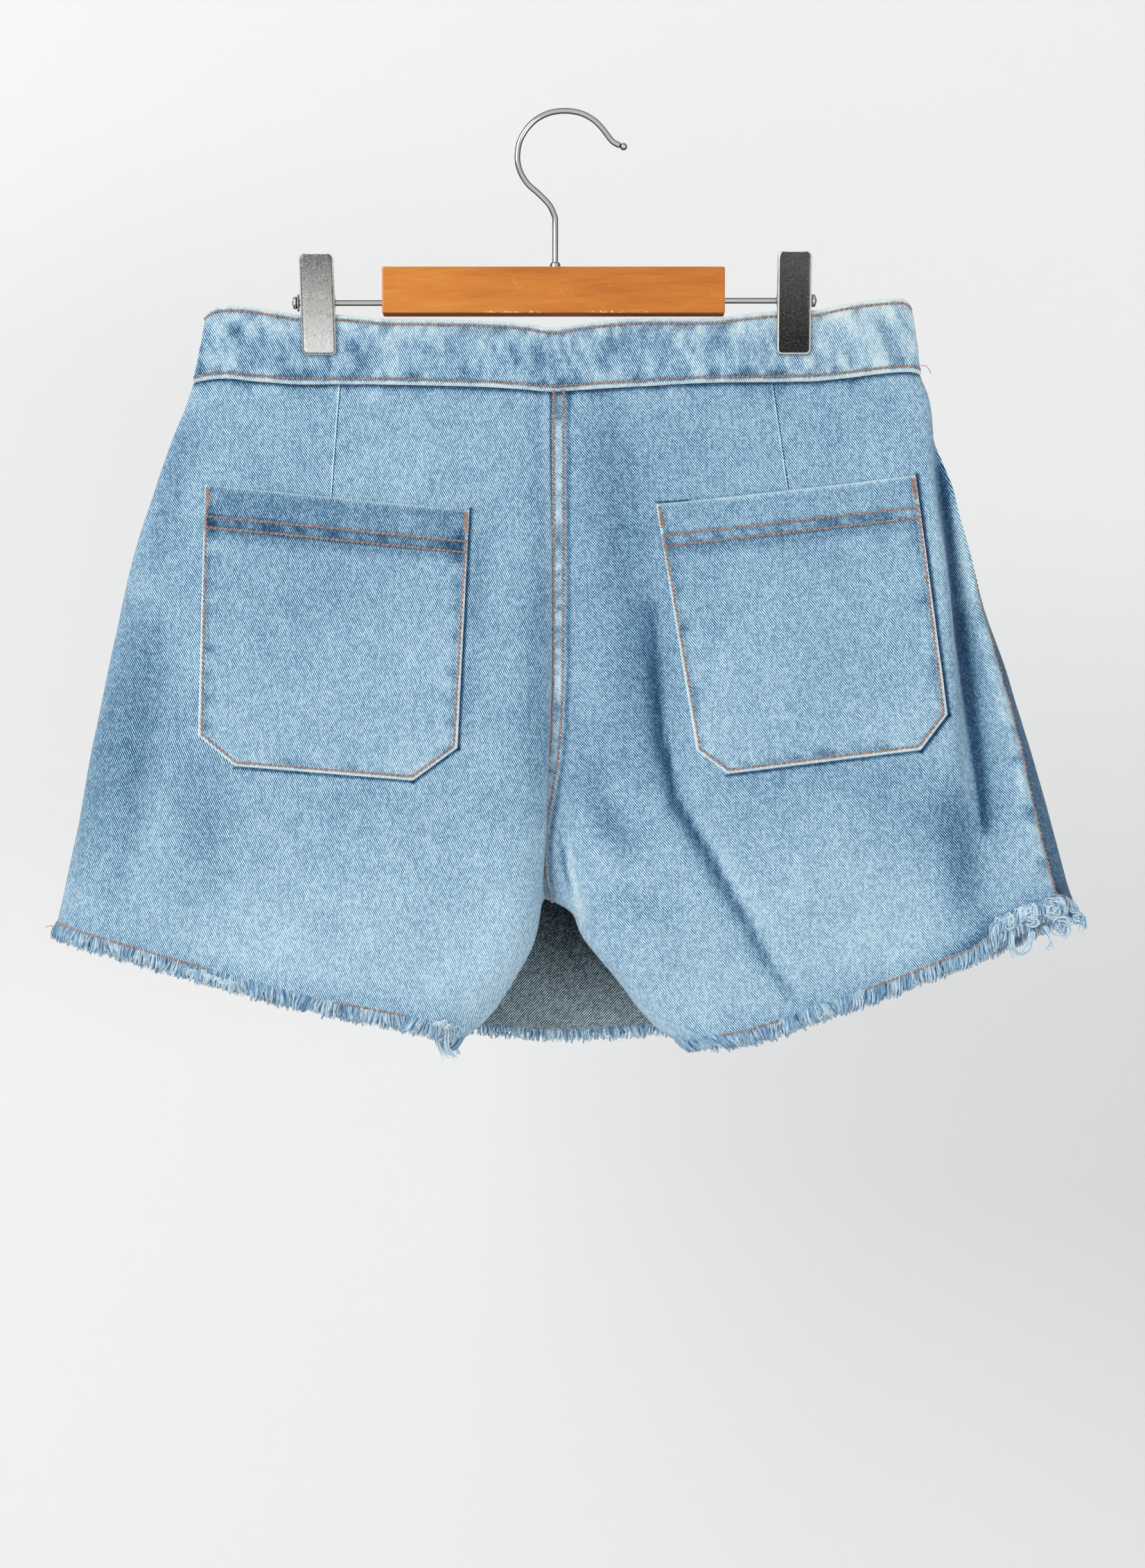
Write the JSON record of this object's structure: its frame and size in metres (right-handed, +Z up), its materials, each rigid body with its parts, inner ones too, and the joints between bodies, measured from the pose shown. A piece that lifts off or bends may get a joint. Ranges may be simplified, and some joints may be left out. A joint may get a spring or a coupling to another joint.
{
  "type": "denim skort on a clip hanger",
  "caption": "Flat-hung denim skort seen from its back, with two patch pockets, a skirt panel in front and raw frayed hems, held by a wooden hanger with two metal clips.",
  "frame": {"origin": "inside top of the hanger's hook, where a rail would carry it", "axes": "+Z up, -Y out of the garment's back towards the viewer, +X to the right as the back is seen"},
  "size_m": [0.5261, 0.0513, 0.4878],
  "materials": {
    "denim": "washed mid-blue twill, matt, with whiter and darker patches",
    "denim_band": "washed mid-blue twill, puckered along its two stitch rows",
    "denim_light": "washed mid-blue twill, worn pale along its edges",
    "fringe": "loose white and blue warp and weft threads",
    "varnished_wood": "orange-brown varnish, worn to bare wood at the lower edge",
    "chromed_steel": "bright chromed wire",
    "nickel_plate": "satin nickel, finely speckled"
  },
  "bodies": {
    "root": {"waistband_back": "denim_band", "waistband_front": "denim_band", "back_left": "denim", "back_right": "denim", "skirt_front": "denim", "front_left": "denim", "front_right": "denim", "pocket_left": "denim_light", "pocket_right": "denim_light", "fringe_back_left": "fringe", "fringe_back_right": "fringe", "fringe_front_left": "fringe", "fringe_front_right": "fringe", "fringe_skirt": "fringe", "hanger_bar": "varnished_wood", "hook": "chromed_steel", "hook_ferrule": "chromed_steel", "rod_left": "chromed_steel", "rod_right": "chromed_steel", "rod_cap_left": "nickel_plate", "rod_cap_right": "nickel_plate", "clip_left_outer": "nickel_plate", "clip_left_inner": "nickel_plate", "clip_right_outer": "nickel_plate", "clip_right_inner": "nickel_plate"}
  },
  "joints": []
}
